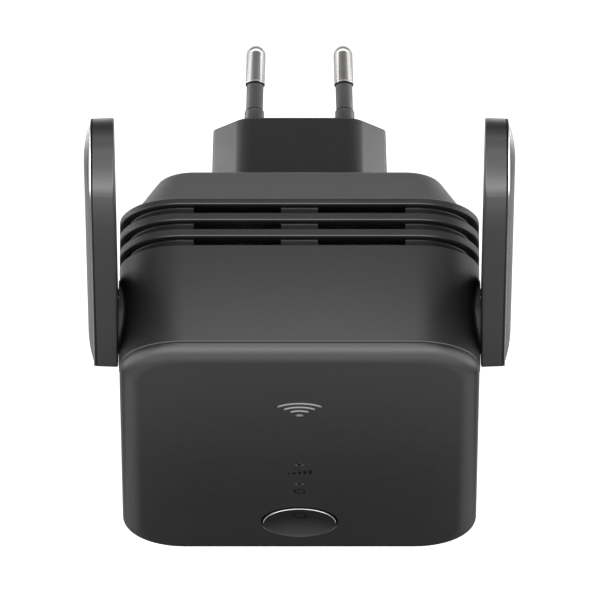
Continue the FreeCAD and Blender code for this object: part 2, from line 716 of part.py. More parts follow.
def rj45_jack():
    s = box(-7.95, 7.95, -54.0, -41.8, CASE_BOT + 0.5, CASE_BOT + 21.5)
    zf = CASE_BOT + 0.5
    s = s.cut(box(-5.95, 5.95, -52.9, -45.0, zf - 1, zf + 14))
    s = s.cut(box(-3.1, 3.1, -45.1, -43.0, zf - 1, zf + 9))
    s = s.cut(box(-2.0, 2.0, -43.1, -42.5, zf - 1, zf + 6))
    return s


def rj45_contacts():
    zf = CASE_BOT + 0.5
    out = []
    for i in range(8):
        x = -3.57 + 1.02 * i
        pts = [V(x - 0.22, -52.85, zf + 2.2), V(x - 0.22, -50.7, zf + 12.6), V(x - 0.22, -50.7, zf + 13.95),
               V(x - 0.22, -51.05, zf + 13.95), V(x - 0.22, -51.05, zf + 12.6), V(x - 0.22, -52.85, zf + 3.9),
               V(x - 0.22, -52.85, zf + 2.2)]
        out.append(Part.Face(Part.makePolygon(pts)).extrude(V(0.44, 0, 0)))
    return Part.makeCompound(out)


keep("main_board", main_board())
keep("main_board_screws", Part.makeCompound(
    [screw(x, BOARD_B, z, -1, 5.6) for x in (-25, 25) for z in (20.5, -59.5)]))
keep("rf_shield", rf_shield())
keep("wifi_chip", box(-6, 6, BOARD_B, -53.0, -13, -1))
keep("thermal_pad", box(-9, 9, -51.7, -51.2, -16, 2))
keep("heat_spreader", cut(box(-22, 22, -51.2, -50.2, -27, 11),
                          box(-22.5, -15, -52, -50, 6, 11.5), box(15, 22.5, -52, -50, 6, 11.5)))
keep("flash_chip", box(-21, -16.5, BOARD_B, -52.6, -40, -34))
keep("lan_transformer", box(-6.5, 6.5, BOARD_B, -51.4, -45, -36))
keep("rj45_jack", rj45_jack())
keep("rj45_contacts", rj45_contacts())
keep("reset_switch", cut(box(16.0, 20.0, BOARD_B, -51.6, -66.0, -62.8), cyl_z(18.0, -52.8, -67, -64.6, 0.75)))
keep("reset_plunger", cyl_z(18.0, -52.8, -67.0, -65.0, 0.65))
keep("dc_header", fuse([box(-26, -17.5, -54.0, -33.8, -31.2, -28.4)]))


# ---------------------------------------------------------------- power board
def power_board():
    s = box(-28.5, 28.5, PBOARD_F, PBOARD_B, -38, 21)
    s = s.makeFillet(3.5, [e for e in s.Edges if e.BoundBox.YLength > 1 and e.Length < 2.0])
    for x, z in POWER_POSTS:
        s = s.cut(cyl_y(x, PBOARD_F - 1, PBOARD_B + 1, z, 1.15))
    return s


def power_transformer():
    core = cut(box(-21, -3, -46.5, PBOARD_F - 0.8, -16, 0),
               box(-17.5, -6.5, -47.0, PBOARD_F - 4.0, -18, -12.0), box(-17.5, -6.5, -47.0, PBOARD_F - 4.0, -4.0, 2))
    coil = box(-17.4, -6.6, -46.4, PBOARD_F - 4.1, -15.5, -0.5)
    foot = box(-20, -4, PBOARD_F - 0.8, PBOARD_F, -15, -1)
    return core.fuse(coil).fuse(foot).removeSplitter()


def can(x, y, z0, z1, r):
    s = cyl_z(x, y, z0, z1, r)
    s = s.makeFillet(0.5, [e for e in s.Edges if e.BoundBox.ZLength < 0.01])
    groove = Part.makeTorus(r + 0.25, 0.55, V(x, y, z0 + 2.2), V(0, 0, 1))
    return s.cut(groove)


keep("power_board", power_board())
keep("power_board_screws", Part.makeCompound([screw(x, PBOARD_F, z, 1, 7.0) for x, z in POWER_POSTS]))
keep("power_transformer", power_transformer())
keep("bulk_capacitor", can(8.5, PBOARD_F - 5.2, -20.0, -2.0, 5.2))
keep("output_capacitor", can(-12.0, PBOARD_F - 4.2, 3.0, 15.0, 4.2))
keep("input_fuse", cyl_z(20.5, PBOARD_F - 2.0, -14.0, -4.0, 2.0))
keep("bridge_rectifier", box(4.0, 13.0, -36.6, PBOARD_F, 3.0, 9.5))
keep("line_filter_choke", cut(cyl_y(20.0, -40.8, PBOARD_F, 4.5, 5.0), cyl_y(20.0, -42, -33, 4.5, 2.2)))
keep("insulator_sheet", cut(box(-25.5, 25.5, -50.2, -49.8, -37, 6), box(-28, -16.5, -51, -49, -32.2, -27.4)))


# ---------------------------------------------------------------- aerials
def arm_base():
    r0, r1, t = ARM_R, ARM_R - 0.15, ARM_WALL_T
    outer = stadium([
        ("L", (0, 0)), ("L", (r0 - 0.35, 0)), ("A", (r0 - 0.1, 0.1), (r0, 0.35)),
        ("L", (r1, t - 0.28)), ("L", (r1 - 0.28, t)), ("L", (0, t)),
    ])
    cavity = stadium([
        ("L", (0, 1.3)), ("L", (r0 - 1.4, 1.3)), ("L", (r1 - 1.28, t + 1)), ("L", (0, t + 1)),
    ])
    s = outer.cut(cavity)
    x = -ARM_IN
    # posts under the radiator board
    for z in (PIVOT_Z + 26, PIVOT_Z + 78):
        s = s.fuse(cyl_x(x - 2.85, x - 1.0, PIVOT_Y, z, 1.6))
    s = s.cut(cyl_x(x - 2, x + 1, PIVOT_Y, PIVOT_Z, HUB_R + 0.03))
    # rib of the end stop, in the track of the case's pad
    rib = ring_sector_x(PIVOT_Y, PIVOT_Z, 6.95, 7.95, -7, 7, x - 0.2, x + 0.7)
    s = s.fuse(rib)
    return s.removeSplitter()


def arm_cover():
    rd, h, t0 = ARM_R - 0.15 - 0.28 - 0.1, ARM_DOME, ARM_WALL_T + 0.05
    big = (rd * rd + h * h) / (2 * h)
    half = rd * 0.55
    mid = (half, t0 + h - (big - math.sqrt(big * big - half * half)))
    outer = stadium([("L", (0, t0)), ("L", (rd, t0)), ("A", mid, (0, t0 + h))])
    ri = ARM_R - 1.43 - 0.12
    lip = stadium([("L", (0, t0 - 1.8)), ("L", (ri - 0.2, t0 - 1.8)), ("L", (ri, t0 - 1.5)), ("L", (ri, t0 + 0.01)), ("L", (0, t0 + 0.01))])
    hi = h - 1.1
    inside = stadium([("L", (0, t0 - 3)), ("L", (ri - 1.1, t0 - 3)), ("L", (ri - 1.1, t0 + 0.0)), ("L", (0, t0 + 0.0))])
    return outer.fuse(lip).cut(inside).removeSplitter()


def hinge_hub():
    x = -ARM_IN
    shaft = cyl_x(x - 1.3, -28.0, PIVOT_Y, PIVOT_Z, HUB_R)
    flange = cyl_x(x - 2.3, x - 1.3, PIVOT_Y, PIVOT_Z, 6.0)
    s = flange.fuse(shaft)
    s = s.cut(cyl_x(x - 5, -27, PIVOT_Y, PIVOT_Z, HUB_BORE_R))
    # seat of the retaining clip
    groove = cyl_x(-29.42, -28.62, PIVOT_Y, PIVOT_Z, 8).cut(cyl_x(-29.6, -28.4, PIVOT_Y, PIVOT_Z, 3.2))
    s = s.cut(groove)
    # way out for the coax, up the arm
    s = s.cut(box(x - 3, x - 0.35, PIVOT_Y - 1.1, PIVOT_Y + 1.1, PIVOT_Z, PIVOT_Z + 7))
    return s.removeSplitter()


def retaining_clip():
    s = cyl_x(-29.37, -28.67, PIVOT_Y, PIVOT_Z, 5.6).cut(cyl_x(-30, -28, PIVOT_Y, PIVOT_Z, 3.25))
    # open at the bottom so that it can be pushed on
    return s.cut(box(-30, -28, PIVOT_Y - 2.4, PIVOT_Y + 2.4, PIVOT_Z - 7, PIVOT_Z - 1.5))


def hinge_washer():
    return cyl_x(-36.85, -36.2, PIVOT_Y, PIVOT_Z, 5.7).cut(cyl_x(-38, -35, PIVOT_Y, PIVOT_Z, HUB_R + 0.15))


def arm_element():
    x = -ARM_IN - 2.9
    s = box(x - 0.8, x, PIVOT_Y - 5.2, PIVOT_Y + 5.2, PIVOT_Z + 18.5, PIVOT_Z + 84.5)
    return s.makeFillet(1.5, [e for e in s.Edges if e.BoundBox.XLength > 0.7 and e.Length < 1.0])


def arm_coax():
    x = -ARM_IN - 3.25
    return lead([(-30.0, PIVOT_Y, PIVOT_Z), (x, PIVOT_Y, PIVOT_Z), (x, PIVOT_Y, PIVOT_Z + 18.5)], 0.62, radii=[2.6])


def body_coax():
    return lead([(-30.0 + 0.02, PIVOT_Y, PIVOT_Z), (-20.5, PIVOT_Y, PIVOT_Z), (-20.5, -53.1, 21.5 - 14.0), (-20.5, -53.1, 2.6 - 4.0 + 4.0)], 0.62)


def coax_plug():
    return cyl_y(-20.5, BOARD_B, -52.3, 1.3, 1.3)


for side in ("left", "right"):
    flip = (lambda s: s) if side == "left" else mirror_x
    keep(side + "_antenna_base", flip(arm_base()))
    keep(side + "_antenna_cover", flip(arm_cover()))
    keep(side + "_antenna_element", flip(arm_element()))
    keep(side + "_antenna_coax", flip(arm_coax()))
    keep(side + "_hinge_hub", flip(hinge_hub()))
    keep(side + "_hinge_clip", flip(retaining_clip()))
    keep(side + "_hinge_washer", flip(hinge_washer()))
    keep(side + "_case_coax", flip(body_coax()))
    keep(side + "_coax_plug", flip(coax_plug()))


# ---------------------------------------------------------------- write
os.makedirs("parts", exist_ok=True)
for old in os.listdir("parts"):
    if old.endswith(".step") and old[:-5] not in parts:
        os.remove(os.path.join("parts", old))
bad = []
for name, shape in parts.items():
    ok = shape.isValid() and shape.Volume > 0 and len(shape.Solids) >= 1
    if not ok:
        bad.append(name)
    shape.exportStep("parts/" + name + ".step")
    bb = shape.BoundBox
    print("%-22s solids %2d faces %3d vol %9.2f  x %.1f..%.1f y %.1f..%.1f z %.1f..%.1f %s" % (
        name, len(shape.Solids), len(shape.Faces), shape.Volume, bb.XMin, bb.XMax, bb.YMin, bb.YMax, bb.ZMin, bb.ZMax,
        "" if ok else "BAD"))
print(len(parts), "parts; bad:", bad)
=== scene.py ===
"""Visual model of the wifi range extender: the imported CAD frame, dressed in procedural materials and
finer mesh pieces, with a plain studio round it. Everything is in metres, in the frame of the CAD model."""

import json
import math

import bmesh
import bpy
from mathutils import Matrix, Vector


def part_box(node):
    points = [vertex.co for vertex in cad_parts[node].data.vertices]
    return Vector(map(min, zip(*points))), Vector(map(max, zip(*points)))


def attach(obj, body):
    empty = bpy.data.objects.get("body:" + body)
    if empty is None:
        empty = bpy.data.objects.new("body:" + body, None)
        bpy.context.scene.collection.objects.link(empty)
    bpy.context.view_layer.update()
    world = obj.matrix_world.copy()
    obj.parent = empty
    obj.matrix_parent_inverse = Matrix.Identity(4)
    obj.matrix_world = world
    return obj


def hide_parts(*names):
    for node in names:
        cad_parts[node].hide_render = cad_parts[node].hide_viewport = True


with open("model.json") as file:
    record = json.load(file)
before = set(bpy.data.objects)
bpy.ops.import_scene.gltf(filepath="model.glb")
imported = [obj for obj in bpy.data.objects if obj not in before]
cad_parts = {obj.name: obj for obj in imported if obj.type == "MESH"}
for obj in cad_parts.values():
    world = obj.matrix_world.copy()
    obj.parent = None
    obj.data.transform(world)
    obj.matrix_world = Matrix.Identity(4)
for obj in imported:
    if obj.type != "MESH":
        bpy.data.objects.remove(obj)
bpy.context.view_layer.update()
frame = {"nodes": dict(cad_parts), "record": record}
NODES = frame["nodes"]

scene = bpy.context.scene
MM = 0.001

# ------------------------------------------------------------------ camera
ELEV = math.radians(66.5)
BACK = Vector((0.0, -math.cos(ELEV), math.sin(ELEV)))
UP = Vector((0.0, math.sin(ELEV), math.cos(ELEV)))
TARGET = Vector((0.0001, 0.0, 0.0)) - UP * 0.03473
cam_data = bpy.data.cameras.new("camera")
cam_data.lens = 1023.0
cam_data.sensor_width = 36.0
cam_data.clip_start, cam_data.clip_end = 0.1, 40.0
camera = bpy.data.objects.new("camera", cam_data)
scene.collection.objects.link(camera)
camera.location = TARGET + BACK * 3.5
camera.rotation_mode = "QUATERNION"
camera.rotation_quaternion = (-BACK).to_track_quat("-Z", "Y")
scene.camera = camera

scene.view_settings.view_transform = "Standard"
scene.view_settings.look = "None"
scene.cycles.use_denoising = True
scene.cycles.max_bounces = 8
scene.cycles.caustics_reflective = False
scene.cycles.caustics_refractive = False


# ------------------------------------------------------------------ node helpers
class Tree:
    """A few words for building node trees."""

    def __init__(self, tree):
        self.tree = tree
        tree.nodes.clear()

    def add(self, kind, **values):
        n = self.tree.nodes.new(kind)
        for k, v in values.items():
            if hasattr(n, k) and k not in n.inputs:
                setattr(n, k, v)
            else:
                n.inputs[k].default_value = v
        return n

    def link(self, a, b):
        self.tree.links.new(a, b)

    def math(self, op, a, b=None, clamp=False):
        n = self.tree.nodes.new("ShaderNodeMath")
        n.operation = op
        n.use_clamp = clamp
        for i, v in enumerate((a, b)):
            if v is None:
                continue
            if isinstance(v, (int, float)):
                n.inputs[i].default_value = v
            else:
                self.link(v, n.inputs[i])
        return n.outputs[0]

    def smooth(self, v, a, b):
        """0 at a, 1 at b, eased at both ends."""
        n = self.tree.nodes.new("ShaderNodeMapRange")
        n.interpolation_type = "SMOOTHSTEP"
        lo, hi, t0, t1 = (a, b, 0.0, 1.0) if a < b else (b, a, 1.0, 0.0)
        n.inputs["From Min"].default_value = lo
        n.inputs["From Max"].default_value = hi
        n.inputs["To Min"].default_value = t0
        n.inputs["To Max"].default_value = t1
        self.link(v, n.inputs["Value"])
        return n.outputs["Result"]

    def noise(self, coord, scale, detail=3.0, rough=0.5, distortion=0.0):
        n = self.add("ShaderNodeTexNoise", Scale=scale, Detail=detail, Roughness=rough, Distortion=distortion)
        self.link(coord, n.inputs["Vector"])
        return n.outputs["Fac"]

    def ramp(self, fac, stops):
        n = self.tree.nodes.new("ShaderNodeMapRange")
        n.inputs["From Min"].default_value = stops[0]
        n.inputs["From Max"].default_value = stops[1]
        n.inputs["To Min"].default_value = stops[2]
        n.inputs["To Max"].default_value = stops[3]
        self.link(fac, n.inputs["Value"])
        return n.outputs["Result"]

    def mix(self, fac, a, b):
        n = self.tree.nodes.new("ShaderNodeMix")
        n.data_type = "RGBA"
        for sock, v in ((n.inputs[0], fac), (n.inputs[6], a), (n.inputs[7], b)):
            if isinstance(v, (int, float)):
                sock.default_value = v
            elif isinstance(v, tuple):
                sock.default_value = (*v[:3], 1.0)
            else:
                self.link(v, sock)
        return n.outputs[2]


def material(name, base, rough, *, vary=0.12, rough_vary=0.06, grain=7000.0, grain_depth=6e-6, blotch=90.0,
             metallic=0.0, specular=0.5, coat=0.0, coat_rough=0.1, transmission=0.0, ior=1.5, dust=0.0,
             streak=None, sheen=0.0, painted_shade_distance=0.0):
    """Moulded or plated surface: colour drifts slowly over the part, roughness varies with it, and a fine
    moulded grain is carried as bump."""
    m = bpy.data.materials.new(name)
    m.use_nodes = True
    t = Tree(m.node_tree)
    out = t.add("ShaderNodeOutputMaterial")
    bsdf = t.add("ShaderNodeBsdfPrincipled")
    t.link(bsdf.outputs[0], out.inputs[0])
    bsdf.inputs["Metallic"].default_value = metallic
    bsdf.inputs["Specular IOR Level"].default_value = specular
    bsdf.inputs["IOR"].default_value = ior
    bsdf.inputs["Coat Weight"].default_value = coat
    bsdf.inputs["Coat Roughness"].default_value = coat_rough
    bsdf.inputs["Transmission Weight"].default_value = transmission
    if sheen:
        bsdf.inputs["Sheen Weight"].default_value = sheen
        bsdf.inputs["Sheen Roughness"].default_value = 0.5
    coord = t.add("ShaderNodeTexCoord").outputs["Object"]
    if streak:
        mp = t.add("ShaderNodeMapping")
        mp.inputs["Scale"].default_value = streak
        t.link(coord, mp.inputs["Vector"])
        fine_coord = mp.outputs[0]
    else:
        fine_coord = coord
    slow = t.noise(coord, blotch, 3.0, 0.55)
    fine = t.noise(fine_coord, grain, 2.0, 0.6)
    lo = tuple(c * (1 - vary) for c in base)
    hi = tuple(min(1.0, c * (1 + vary)) for c in base)
    fac = t.math("ADD", t.math("MULTIPLY", slow, 0.7), t.math("MULTIPLY", fine, 0.3))
    fac = t.ramp(fac, (0.3, 0.7, 0.0, 1.0))
    colour = t.mix(fac, lo, hi)
    if dust:
        # a trace of pale dust that settles in broad patches
        cloud = t.noise(coord, 38.0, 5.0, 0.65)
        amount = t.math("MULTIPLY", t.ramp(cloud, (0.52, 0.75, 0.0, 1.0)), dust)
        colour = t.mix(amount, colour, (0.32, 0.31, 0.30))
    if painted_shade_distance:
        # painted shade: ambient occlusion darkens the colour and takes away the shine in grooves and narrow corners,
        # where shade falls
        ao = t.add("ShaderNodeAmbientOcclusion")
        ao.samples = 8
        ao.inputs["Distance"].default_value = painted_shade_distance
        clear = t.smooth(ao.outputs["AO"], 0.20, 0.62)
        t.link(t.math("MULTIPLY", clear, specular), bsdf.inputs["Specular IOR Level"])
        colour = t.mix(clear, tuple(c * 0.8 for c in base), colour)
    t.link(colour, bsdf.inputs["Base Color"])
    mid = t.noise(coord, blotch * 6, 3.0, 0.6)
    r = t.math("ADD", t.ramp(mid, (0.3, 0.7, rough - rough_vary, rough + rough_vary)),
               t.math("MULTIPLY", t.math("SUBTRACT", fine, 0.5), rough_vary), clamp=True)
    t.link(r, bsdf.inputs["Roughness"])
    bump = t.add("ShaderNodeBump")
    bump.inputs["Strength"].default_value = 1.0
    bump.inputs["Distance"].default_value = grain_depth
    t.link(fine, bump.inputs["Height"])
    t.link(bump.outputs[0], bsdf.inputs["Normal"])
    return m


MAT = {
    "front_plastic": material("front_plastic", (0.0045, 0.0045, 0.0048), 0.36, grain=9000, grain_depth=1.5e-6, rough_vary=0.02),
    # case_plastic and rear_plastic carry painted shade: ambient occlusion darkens their colour and shine in grooves
    # and corners
    "case_plastic": material("case_plastic", (0.0070, 0.0070, 0.0073), 0.40, grain=5200, grain_depth=3e-6, rough_vary=0.025, painted_shade_distance=0.004),
    "rear_plastic": material("rear_plastic", (0.0070, 0.0070, 0.0073), 0.40, grain=5200, grain_depth=3e-6, rough_vary=0.025, painted_shade_distance=0.004),
    "plug_plastic": material("plug_plastic", (0.0055, 0.0055, 0.0058), 0.36, grain=5200, grain_depth=3e-6, rough_vary=0.025),
    "emblem_ink": material("emblem_ink", (0.30, 0.30, 0.31), 0.20, metallic=1.0, grain=9000, grain_depth=5e-7, rough_vary=0.02),
    "pin_metal": material("pin_metal", (0.54, 0.53, 0.52), 0.15, metallic=1.0, vary=0.04, grain=900, grain_depth=1e-6, rough_vary=0.03, streak=(1.0, 0.06, 1.0)),
    "pin_sleeve": material("pin_sleeve", (0.045, 0.045, 0.046), 0.34, grain=4000, grain_depth=2e-6, rough_vary=0.03),
    "contact_brass": material("contact_brass", (0.66, 0.48, 0.20), 0.30, metallic=1.0, grain=1500, grain_depth=2e-6),
    "button_plastic": material("button_plastic", (0.0035, 0.0035, 0.0037), 0.32, grain=9000, grain_depth=1.5e-6, rough_vary=0.02),
    "switch_plastic": material("switch_plastic", (0.03, 0.03, 0.031), 0.45),
    "plunger_plastic": material("plunger_plastic", (0.68, 0.65, 0.58), 0.5),
    "lens_smoke": material("lens_smoke", (0.012, 0.012, 0.013), 0.12, grain=9000, grain_depth=1e-6, vary=0.2),
    "edge_gloss": material("edge_gloss", (0.62, 0.62, 0.63), 0.16, metallic=1.0, grain=9000, grain_depth=5e-7, rough_vary=0.02),
    "rim_gloss": material("rim_gloss", (0.80, 0.80, 0.80), 0.12, metallic=1.0, grain=9000, grain_depth=5e-7, rough_vary=0.02),
    # near-black, almost shineless material that stands for the painted shade inside narrow joints
    "painted_gap_shade": material("painted_gap_shade", (0.002, 0.002, 0.002), 0.7, grain=9000, grain_depth=1e-6, specular=0.1),
    "print_dark": material("print_dark", (0.0025, 0.0025, 0.0027), 0.6, grain=9000, grain_depth=1e-6, vary=0.3, specular=0.04),
    "light_pipe": material("light_pipe", (0.55, 0.56, 0.57), 0.22, grain=9000, grain_depth=1e-6),
    "led_ceramic": material("led_ceramic", (0.80, 0.78, 0.66), 0.4),
    "board_green": material("board_green", (0.02, 0.13, 0.05), 0.35, coat=0.4, vary=0.2, grain=2400),
    "board_tan": material("board_tan", (0.48, 0.34, 0.16), 0.5, vary=0.15, grain=2400),
    "screw_steel": material("screw_steel", (0.52, 0.52, 0.53), 0.32, metallic=1.0, grain=2500, grain_depth=2e-6),
    "shield_tin": material("shield_tin", (0.62, 0.62, 0.61), 0.36, metallic=1.0, grain=1200, grain_depth=2e-6),
    "chip_epoxy": material("chip_epoxy", (0.018, 0.018, 0.018), 0.55),
    "thermal_rubber": material("thermal_rubber", (0.30, 0.36, 0.42), 0.7),
    "spreader_aluminium": material("spreader_aluminium", (0.70, 0.70, 0.71), 0.34, metallic=1.0, streak=(0.05, 1.0, 1.0), grain=2500, grain_depth=3e-6),
    "jack_plastic": material("jack_plastic", (0.020, 0.020, 0.021), 0.44, grain=4500),
    "jack_gold": material("jack_gold", (0.85, 0.60, 0.22), 0.2, metallic=1.0),
    "header_plastic": material("header_plastic", (0.03, 0.03, 0.03), 0.5),
    "transformer_ferrite": material("transformer_ferrite", (0.05, 0.05, 0.055), 0.6),
    "capacitor_can": material("capacitor_can", (0.06, 0.07, 0.12), 0.3, coat=0.3),
    "fuse_ceramic": material("fuse_ceramic", (0.70, 0.67, 0.58), 0.45),
    "choke_copper": material("choke_copper", (0.50, 0.20, 0.07), 0.35, metallic=1.0, grain=1800, grain_depth=2e-5),
    "insulator_film": material("insulator_film", (0.55, 0.42, 0.16), 0.3),
    "arm_plastic": material("arm_plastic", (0.0030, 0.0030, 0.0032), 0.33, grain=5200, grain_depth=3e-6, rough_vary=0.025),
    "arm_cover_plastic": material("arm_cover_plastic", (0.0060, 0.0060, 0.0063), 0.34, grain=7000, grain_depth=3e-6, rough_vary=0.025),
    "coax_jacket": material("coax_jacket", (0.02, 0.02, 0.02), 0.45),
    "hub_nylon": material("hub_nylon", (0.008, 0.008, 0.008), 0.55),
    "washer_nylon": material("washer_nylon", (0.035, 0.035, 0.035), 0.55),
}
SLOT_OF = {s["node"]: s.get("material_slot", s["node"]) for s in frame["record"]["subparts"]}
for name, obj in NODES.items():
    mat = MAT[SLOT_OF[name]]
    if not obj.material_slots:
        obj.data.materials.append(mat)
    for s in obj.material_slots:
        s.material = mat


# ------------------------------------------------------------------ mesh helpers
def make_piece(name, parts_, mat, body, replaces=(), sharp=32.0):
    """One object from one or more closed (verts, faces) shells, in metres."""
    mesh = bpy.data.meshes.new(name)
    bm = bmesh.new()
    for verts, faces in parts_:
        vs = [bm.verts.new(v) for v in verts]
        for f in faces:
            bm.faces.new([vs[i] for i in f])
    bmesh.ops.recalc_face_normals(bm, faces=bm.faces)
    for f in bm.faces:
        f.smooth = True
    for e in bm.edges:
        e.smooth = len(e.link_faces) == 2 and e.calc_face_angle(0.0) < math.radians(sharp)
    bm.to_mesh(mesh)
    bm.free()
    obj = bpy.data.objects.new(name, mesh)
    scene.collection.objects.link(obj)
    mesh.materials.append(mat)
    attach(obj, body)
    if replaces:
        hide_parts(*replaces)
    return obj


def lathe(profile, cx, cz, n=96):
    """Turns (radius, y) points about a line along Y. The first and last radius are 0."""
    verts, faces, rings = [], [], []
    for r, y in profile:
        if r < 1e-9:
            rings.append([len(verts)])
            verts.append((cx, y, cz))
            continue
        rings.append(list(range(len(verts), len(verts) + n)))
        for k in range(n):
            a = 2 * math.pi * k / n
            verts.append((cx + r * math.cos(a), y, cz + r * math.sin(a)))
    for a, b in zip(rings, rings[1:]):
        for k in range(n):
            m = (k + 1) % n
            if len(a) == 1:
                faces.append((a[0], b[m], b[k]))
            elif len(b) == 1:
                faces.append((a[k], a[m], b[0]))
            else:
                faces.append((a[k], a[m], b[m], b[k]))
    return verts, faces


def sweep(sections):
    """Closed skin through rings of equal length, with a cap at each end."""
    n = len(sections[0])
    verts = [v for ring in sections for v in ring]
    faces = []
    for i in range(len(sections) - 1):
        for k in range(n):
            m = (k + 1) % n
            faces.append((i * n + k, i * n + m, (i + 1) * n + m, (i + 1) * n + k))
    faces.append(tuple(range(n - 1, -1, -1)))
    faces.append(tuple((len(sections) - 1) * n + k for k in range(n)))
    return verts, faces


# sizes read from the frame
front_lo, front_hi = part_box("front_cover")
PANEL_Y = front_lo.y                       # front face of the panel
CASE_L, CASE_R, CASE_B, CASE_T = front_lo.x, front_hi.x, front_lo.z, front_hi.z
BACK_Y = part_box("main_housing")[1].y
CORNER = 12.8 * MM


def case_path(inset, span, steps=20):
    """Points and outward normals along the case's outline, moved inwards. span is "top", "bottom",
    "left" or "right"; the first two are the short bridges in the middle, the others run round a side
    from one row of vents to the other."""
    near, far = 3.75 * MM, 21.5 * MM
    if span in ("top", "bottom"):
        z, nz = (CASE_T, 1.0) if span == "top" else (CASE_B, -1.0)
        return [((x, z - inset * nz), (0.0, nz)) for x in [near * (2 * i / 8 - 1) for i in range(9)]]
    sx = 1.0 if span == "right" else -1.0
    edge = CASE_R
    cx = edge - CORNER
    out = [((sx * far, CASE_T - inset), (0.0, 1.0))]
    r = CORNER - inset
    for i in range(steps + 1):
        a = math.radians(90 - 90 * i / steps)
        out.append(((sx * (cx + r * math.cos(a)), CASE_T - CORNER + r * math.sin(a)), (sx * math.cos(a), math.sin(a))))
    for i in range(1, 12):
        z = (CASE_T - CORNER) + (CASE_B + CORNER - CASE_T + CORNER) * i / 12
        out.append(((sx * (edge - inset), z), (sx, 0.0)))
    for i in range(steps + 1):
        a = math.radians(-90 * i / steps)
        out.append(((sx * (cx + r * math.cos(a)), CASE_B + CORNER + r * math.sin(a)), (sx * math.cos(a), math.sin(a))))
    out.append(((sx * far, CASE_B + inset), (0.0, -1.0)))
    return out


def groove_fillets():
    """Soft inner corner at the back of each cooling groove, between its rear wall and its floor."""
    shells = []
    f, deep = 0.36 * MM, 2.0 * MM
    for i in range(3):
        y = BACK_Y - (1.45 + 3.55 * i) * MM
        for span in ("top", "bottom", "left", "right"):
            rings = []
            for (px, pz), (nx, nz) in case_path(deep, span):
                ring = []
                for k in range(7):
                    a = math.radians(90 * k / 6)
                    # concave quarter from the floor up to the wall
                    o, yy = f - f * math.cos(a), y - f + f * math.sin(a)
                    ring.append((o, yy))
                ring += [(f, y + 0.03 * MM), (-0.03 * MM, y + 0.03 * MM), (-0.03 * MM, y - f)]
                rings.append([(px + nx * o, yy, pz + nz * o) for o, yy in ring])
            shells.append(sweep(rings))
    make_piece("groove_fillets", shells, MAT["case_plastic"], "case", sharp=40)


def emblem():
    """Three crowned arcs over a crowned dot, polished, standing just proud of the panel."""
    lo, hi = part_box("front_emblem")
    cx = (lo.x + hi.x) / 2
    cz = lo.z + 0.95 * MM
    base, crest, edge = PANEL_Y + 0.30 * MM, PANEL_Y - 0.16 * MM, PANEL_Y - 0.02 * MM
    shells = []
    half = 0.52 * MM
    for r in (2.55 * MM, 4.45 * MM, 6.35 * MM):
        rings = []
        n = 40
        for i in range(n + 1):
            t = i / n
            a = math.radians(45 + 90 * t)
            # the ends are rounded off
            e = min(t, 1 - t) * math.radians(90) * r / half
            k = math.sqrt(max(0.0, 1 - (1 - min(1.0, e)) ** 2)) if e < 1 else 1.0
            k = max(k, 0.35)
            ring = []
            m = 10
            for j in range(m + 1):
                v = 2 * j / m - 1
                rr = r + v * half * k
                y = edge + (crest - edge) * (1 - v * v) * k
                ring.append((cx + rr * math.cos(a), y, cz + rr * math.sin(a)))
            for v in (1, -1):
                rr = r + v * half * k
                ring.append((cx + rr * math.cos(a), base, cz + rr * math.sin(a)))
            rings.append(ring)
        shells.append(sweep(rings))
    prof = [(0.0, crest)]
    for j in range(1, 9):
        v = j / 8
        prof.append((0.95 * MM * v, edge + (crest - edge) * (1 - v * v)))
    prof += [(0.95 * MM, base), (0.0, base)]
    shells.append(lathe(prof, cx, cz, 48))
    make_piece("panel_emblem", shells, MAT["emblem_ink"], "case", ("front_emblem",), sharp=50)


def button():
    """Push button: a shallow dish inside a rounded rim, on a flange with a centre post."""
    lo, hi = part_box("wps_button")
    cz = (lo.z + hi.z) / 2
    y0 = lo.y
    R, D, rim = 34.0 * MM, 0.85 * MM, 7.6 * MM
    prof = []
    for j in range(20):
        r = 7.05 * MM * j / 19
        prof.append((r, y0 + D - R + math.sqrt(R * R - r * r)))
    # rounded rim, blended into the dish
    y_in = prof[-1][1]
    for r, y in ((7.16, 0.070), (7.24, 0.040), (7.31, 0.022), (7.38, 0.028), (7.45, 0.055), (7.51, 0.105), (7.56, 0.175), (7.59, 0.26), (7.60, 0.36)):
        prof.append((r * MM, min(y_in, y0 + y * MM)))
    back = y0 + (1.8 + 0.35 + 0.05) * MM
    prof += [(rim, back - 0.02 * MM), (8.55 * MM, back), (8.65 * MM, back + 0.1 * MM), (8.65 * MM, back + 0.7 * MM), (8.55 * MM, back + 0.8 * MM),
             (1.7 * MM, back + 0.8 * MM), (1.6 * MM, back + 0.9 * MM), (1.6 * MM, hi.y - 0.1 * MM), (1.5 * MM, hi.y), (0.0, hi.y)]
    piece = make_piece("push_button", [lathe(prof, 0.0, cz, 160)], MAT["button_plastic"], "wps_button", ("wps_button",), sharp=60)
    piece.data.materials.append(MAT["rim_gloss"])
    for poly in piece.data.polygons:
        c = poly.center
        r = math.hypot(c.x, c.z - cz)
        if 7.30 * MM < r < 7.50 * MM and c.y < y0 + 0.2 * MM:
            poly.material_index = 1

    def dish(x, z):
        r2 = x * x + (z - cz) ** 2
        return y0 + D - R + math.sqrt(R * R - r2)
    return cz, dish


